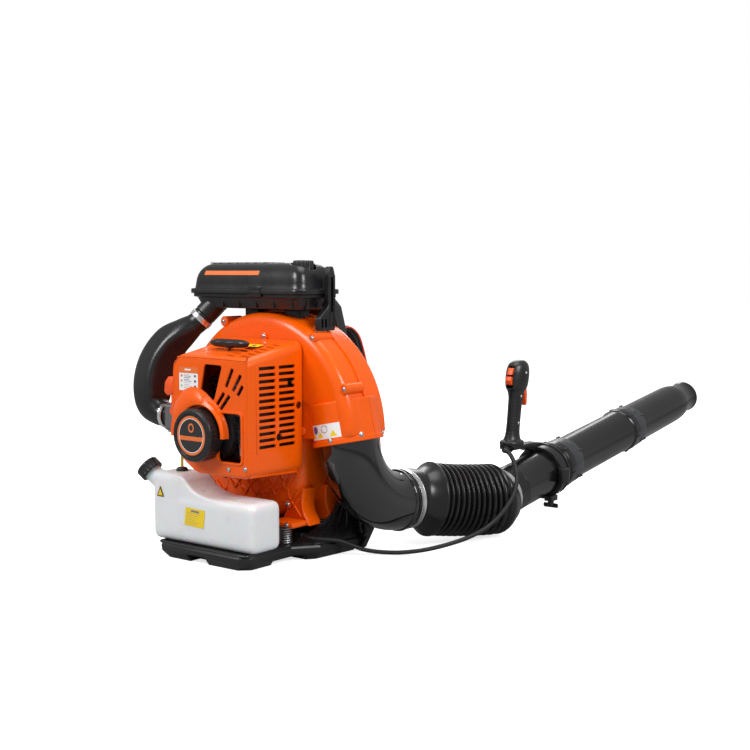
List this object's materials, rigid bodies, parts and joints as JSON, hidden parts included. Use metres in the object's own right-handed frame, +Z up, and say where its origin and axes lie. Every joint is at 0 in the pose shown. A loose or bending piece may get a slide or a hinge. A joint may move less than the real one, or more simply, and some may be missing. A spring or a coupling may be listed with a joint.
{
  "type": "backpack leaf blower",
  "caption": "Backpack leaf blower: two-stroke power head on a sprung back frame, with fuel tank, air cleaner, harness and an articulated blower tube with a throttle handle.",
  "frame": {"origin": "middle of the base tray's flat underside, on the ground", "axes": "+Z up, +Y the way the wearer faces and the blower tube runs, +X the wearer's right"},
  "size_m": [0.5391, 1.3219, 0.4935],
  "materials": {
    "orange_plastic": "moulded gloss",
    "black_plastic": "fine grain",
    "gloss_black": "polished",
    "rubber": "satin",
    "milky_plastic": "blow moulded, translucent",
    "steel": "brushed",
    "alloy": "cast",
    "fabric": "woven",
    "fuel_hose": "clear amber",
    "foam": "open foam"
  },
  "bodies": {
    "root": {"air_cleaner_base": "black_plastic", "air_cleaner_bracket": "black_plastic", "air_filter": "foam", "back_pad": "fabric", "back_plate": "black_plastic", "base_plate": "black_plastic", "bellows_rear": "rubber", "carburetor": "alloy", "clamp_rear": "steel", "crankcase": "alloy", "cylinder": "alloy", "elbow": "gloss_black", "engine_cover": "orange_plastic", "fan_housing_front": "orange_plastic", "fan_housing_rear": "orange_plastic", "fuel_grommet": "rubber", "fuel_line": "fuel_hose", "fuel_tank": "milky_plastic", "intake_duct": "black_plastic", "mount_spring_1": "steel", "mount_spring_2": "steel", "mount_spring_3": "steel", "mount_spring_4": "steel", "muffler": "steel", "shoulder_strap_left": "fabric", "shoulder_strap_right": "fabric", "spark_plug": "rubber", "starter_housing": "black_plastic", "strap_buckle_left": "black_plastic", "strap_buckle_right": "black_plastic", "strap_webbing_left": "fabric", "strap_webbing_right": "fabric", "throttle_cable_rear": "rubber"},
    "rotor": {"crankshaft": "alloy", "flywheel": "alloy", "impeller": "black_plastic"},
    "starter_pulley": {"starter_pulley": "black_plastic"},
    "starter_grip": {"starter_grip": "black_plastic", "starter_rope": "fabric"},
    "piston": {"piston": "alloy"},
    "fuel_cap": {"fuel_cap": "black_plastic"},
    "air_cleaner_lid": {"air_cleaner_lid": "black_plastic"},
    "lid_knob": {"air_cleaner_knob": "black_plastic"},
    "choke_lever": {"choke_lever": "orange_plastic"},
    "primer_bulb": {"primer_bulb": "fuel_hose"},
    "bellows_mid": {"bellows_middle": "rubber", "throttle_cable_middle": "rubber"},
    "tube_base": {"bellows_front": "rubber", "clamp_front": "steel"},
    "tube": {"swivel_pipe": "black_plastic", "blower_pipe": "black_plastic", "nozzle": "black_plastic", "handle_bracket": "black_plastic", "handle_shell_right": "black_plastic", "handle_shell_left": "black_plastic", "throttle_cable_front": "rubber"},
    "trigger": {"throttle_trigger": "orange_plastic"},
    "stop_switch": {"stop_switch": "orange_plastic"},
    "cruise_lever": {"cruise_lever": "orange_plastic"},
    "clamp_wing": {"clamp_wing": "black_plastic"}
  },
  "joints": [
    {"name": "crankshaft_spin", "type": "hinge", "parent": "root", "child": "rotor", "pos_m": [0, 0, 0.213], "axis": [0, 1, 0], "continuous": true},
    {"name": "starter_pull", "type": "slide", "parent": "root", "child": "starter_grip", "axis": [0, 0, 1], "range_m": [0, 0.6], "stiffness_N_per_m": 12, "springref_m": -0.4, "deforming": ["starter_rope"]},
    {"name": "starter_pulley_spin", "type": "hinge", "parent": "root", "child": "starter_pulley", "pos_m": [0, 0, 0.213], "axis": [0, 1, 0], "range_deg": [0, 1146]},
    {"name": "piston_stroke", "type": "slide", "parent": "root", "child": "piston", "axis": [0, 0, 1], "range_m": [0, 0.028]},
    {"name": "fuel_cap_turn", "type": "hinge", "parent": "root", "child": "fuel_cap", "pos_m": [-0.1465, -0.114, 0.143], "axis": [-0.7271, -0.2108, 0.6534], "range_deg": [0, 270]},
    {"name": "air_cleaner_lid_lift", "type": "slide", "parent": "root", "child": "air_cleaner_lid", "axis": [0, 0, 1], "range_m": [0, 0.08]},
    {"name": "lid_knob_turn", "type": "hinge", "parent": "air_cleaner_lid", "child": "lid_knob", "pos_m": [0.08, 0.03, 0.478], "axis": [0, 0, 1], "range_deg": [0, 720]},
    {"name": "choke_turn", "type": "hinge", "parent": "root", "child": "choke_lever", "pos_m": [-0.106, -0.091, 0.24], "axis": [0, 1, 0], "range_deg": [-50, 0]},
    {"name": "primer_press", "type": "slide", "parent": "root", "child": "primer_bulb", "axis": [0, 0, 1], "range_m": [0, 0.0045], "stiffness_N_per_m": 400, "springref_m": -0.0005},
    {"name": "tube_yaw", "type": "hinge", "parent": "root", "child": "bellows_mid", "pos_m": [0.2027, 0.22414, 0.07851], "axis": [0, 0, 1], "range_deg": [-25, 25], "deforming": ["bellows_rear", "throttle_cable_rear"]},
    {"name": "tube_pitch", "type": "hinge", "parent": "bellows_mid", "child": "tube_base", "pos_m": [0.23956, 0.31767, 0.06781], "axis": [1, 0, 0], "range_deg": [-20, 30], "deforming": ["bellows_middle", "throttle_cable_middle"]},
    {"name": "tube_swivel", "type": "hinge", "parent": "tube_base", "child": "tube", "pos_m": [0.25, 0.352, 0.0674], "axis": [0, 0.9892, 0.1464], "range_deg": [-30, 30], "deforming": ["throttle_cable_front"]},
    {"name": "throttle_press", "type": "hinge", "parent": "tube", "child": "trigger", "pos_m": [0.225, 0.478, 0.262], "axis": [1, 0, 0], "range_deg": [-14, 0], "stiffness_Nm_per_rad": 0.4, "springref_deg": 11.46},
    {"name": "stop_slide", "type": "slide", "parent": "tube", "child": "stop_switch", "axis": [0, 1, 0], "range_m": [0, 0.002]},
    {"name": "cruise_turn", "type": "hinge", "parent": "tube", "child": "cruise_lever", "pos_m": [0.225, 0.456, 0.27], "axis": [1, 0, 0], "range_deg": [0, 12]},
    {"name": "clamp_wing_turn", "type": "hinge", "parent": "tube", "child": "clamp_wing", "pos_m": [0.27, 0.526, 0.033], "axis": [0, 0, 1], "range_deg": [-180, 180]}
  ],
  "couplings": [
    {"joint": "starter_pulley_spin", "follows": "starter_pull", "rad_per_m": 33.333}
  ]
}
